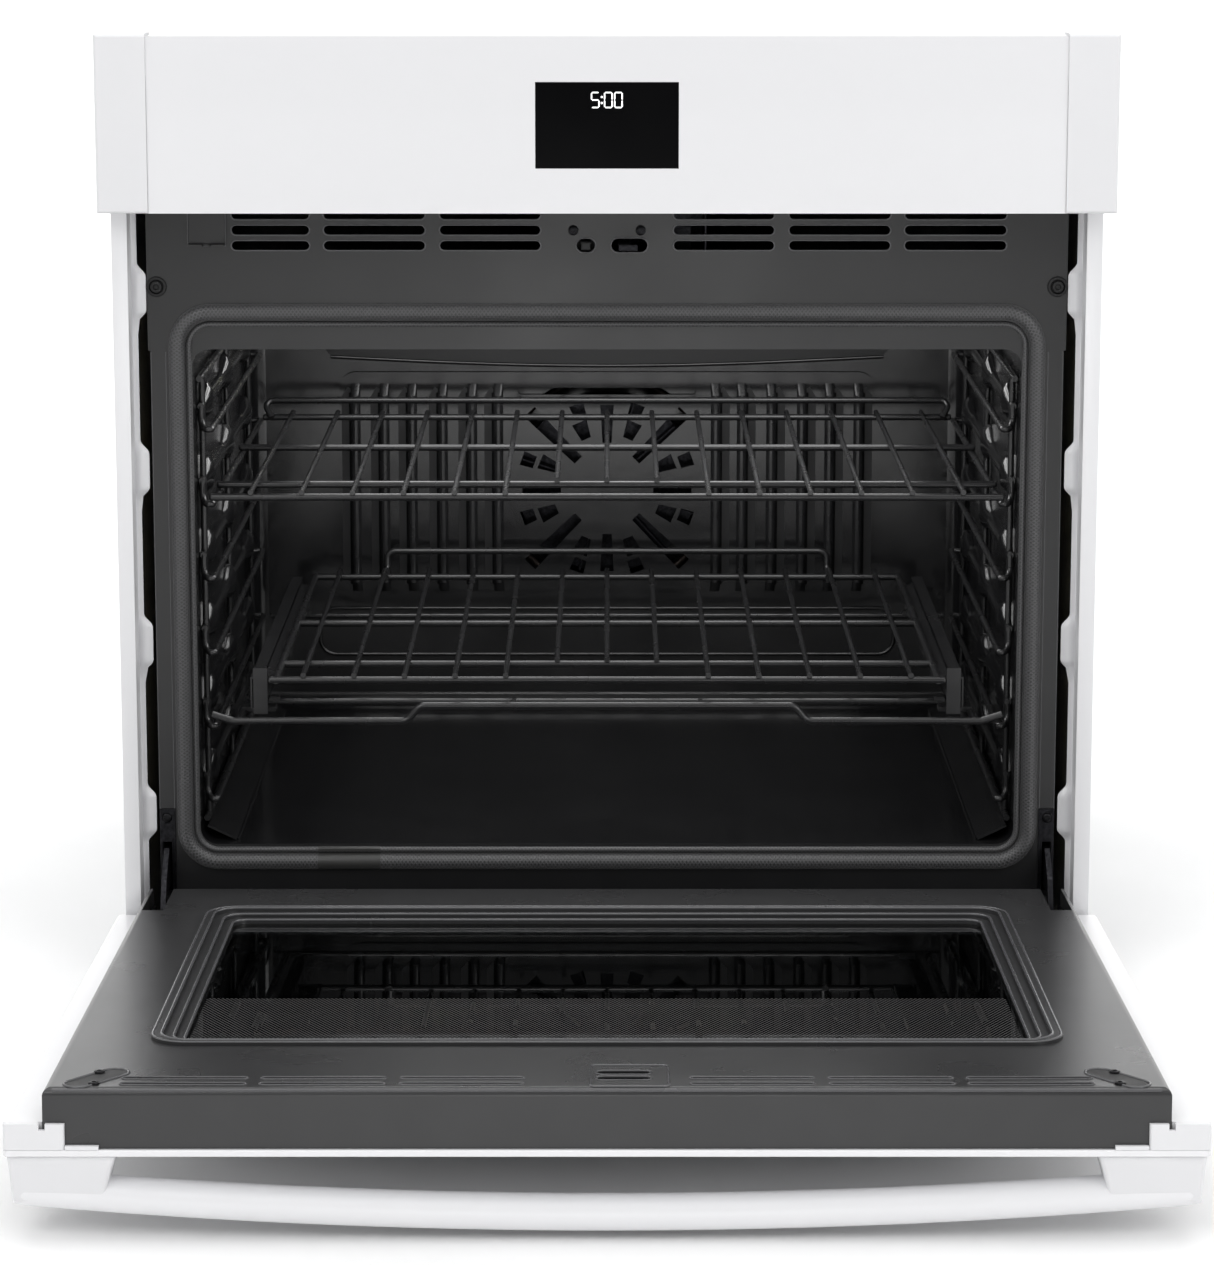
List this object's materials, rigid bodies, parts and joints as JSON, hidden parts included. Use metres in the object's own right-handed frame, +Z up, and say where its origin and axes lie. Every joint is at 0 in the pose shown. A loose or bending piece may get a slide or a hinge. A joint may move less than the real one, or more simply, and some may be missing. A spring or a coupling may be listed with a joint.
{
  "type": "built-in single wall oven",
  "caption": "Built-in electric wall oven with a drop-down window door, bowed bar handle, glass touch panel, two wire racks, glide rails and a rear convection fan.",
  "frame": {"origin": "middle of the base pan's underside at the plane of the cabinet face", "axes": "+X to the right seen from the front, +Y into the oven, +Z up"},
  "size_m": [0.7556, 1.1358, 0.727],
  "materials": {
    "galvanised_steel": "spangled zinc, dull",
    "zinc_screws": "zinc plated",
    "black_plastic": "moulded, fine grain",
    "dark_enamel_frame": "satin grey-black enamel",
    "gasket_braid": "fibreglass braid over a silicone tube",
    "white_enamel": "smooth white enamel",
    "black_rubber": "matt",
    "black_screws": "black zinc",
    "porcelain_enamel": "glossy vitreous enamel",
    "glass_wool": "loose fibre",
    "heater_sheath": "oxidised alloy",
    "aluminised_steel": "dull",
    "motor_steel": "dull lamination steel",
    "lamp_glass": "clear",
    "enamelled_wire": "dark grey enamel on wire",
    "enamelled_steel": "dark grey, satin",
    "white_glass": "back-painted white, polished",
    "black_glass": "back-painted black, polished",
    "white_plastic": "semi-gloss",
    "circuit_board": "solder mask",
    "black_steel": "satin black",
    "bright_steel": "bright pressed steel",
    "dark_enamel_door": "satin dark grey enamel",
    "window_glass": "heat-reflective, tinted"
  },
  "bodies": {
    "root": {"base_pan": "galvanised_steel", "outer_case": "galvanised_steel", "rear_cover": "galvanised_steel", "case_screws": "zinc_screws", "terminal_box": "galvanised_steel", "cable_gland": "black_plastic", "front_frame": "dark_enamel_frame", "door_gasket": "gasket_braid", "gasket_splice": "gasket_braid", "side_trim_right": "white_enamel", "side_trim_left": "white_enamel", "bottom_trim": "white_enamel", "frame_bumpers": "black_rubber", "frame_screws": "black_screws", "cavity_liner": "porcelain_enamel", "insulation_blanket": "glass_wool", "convection_cover": "porcelain_enamel", "convection_element": "heater_sheath", "fan_motor": "motor_steel", "broil_element": "heater_sheath", "bake_element": "heater_sheath", "oven_lamp": "galvanised_steel", "lamp_lens": "lamp_glass", "temperature_probe": "heater_sheath", "ladder_rack_right": "enamelled_wire", "ladder_rack_left": "enamelled_wire", "glide_rails": "enamelled_steel", "glide_frame": "enamelled_wire", "panel_glass": "white_glass", "display_window": "black_glass", "panel_end_caps": "white_plastic", "panel_tray": "galvanised_steel", "control_board": "circuit_board", "panel_brackets": "dark_enamel_frame", "air_duct": "black_steel", "blower_housing": "black_steel", "blower_motor": "motor_steel", "latch_housing": "black_steel", "door_switch": "black_plastic", "hinge_receivers": "black_steel", "hinge_arms": "black_steel"},
    "door": {"door_front_glass": "white_glass", "door_rails": "white_enamel", "door_corner_caps": "white_plastic", "door_liner": "dark_enamel_door", "window_bead": "dark_enamel_door", "inner_glass": "window_glass", "middle_glass": "window_glass", "door_insulation": "glass_wool", "hinge_bodies": "black_steel", "door_screws": "black_screws", "handle_bar": "white_enamel", "handle_posts": "white_plastic"},
    "top_rack_body": {"top_rack": "enamelled_wire"},
    "lower_rack_body": {"lower_rack": "enamelled_wire", "glide_slides": "enamelled_steel"},
    "fan_body": {"convection_fan": "black_steel"},
    "blower_body": {"blower_wheel": "aluminised_steel"},
    "latch_body": {"latch_hook": "black_steel"},
    "plunger_body": {"switch_plunger": "black_plastic"}
  },
  "joints": [
    {"name": "door_hinge", "type": "hinge", "parent": "root", "child": "door", "pos_m": [0, -0.0185, 0.04], "axis": [-1, 0, 0], "range_deg": [0, 87.05]},
    {"name": "top_rack_slide", "type": "slide", "parent": "root", "child": "top_rack_body", "axis": [0, 1, 0], "range_m": [-0.3, 0]},
    {"name": "lower_rack_slide", "type": "slide", "parent": "root", "child": "lower_rack_body", "axis": [0, 1, 0], "range_m": [-0.33, 0]},
    {"name": "convection_fan_spin", "type": "hinge", "parent": "root", "child": "fan_body", "pos_m": [0, 0.51, 0.298], "axis": [0, 1, 0], "continuous": true},
    {"name": "blower_spin", "type": "hinge", "parent": "root", "child": "blower_body", "pos_m": [0, 0.492, 0.6], "axis": [1, 0, 0], "continuous": true},
    {"name": "latch_swing", "type": "hinge", "parent": "root", "child": "latch_body", "pos_m": [0.0129, 0.05, 0.5652], "axis": [0, 0, 1], "range_deg": [0, 10]},
    {"name": "door_switch_slide", "type": "slide", "parent": "root", "child": "plunger_body", "axis": [0, 1, 0], "range_m": [0, 0.004], "stiffness_N_per_m": 150}
  ]
}
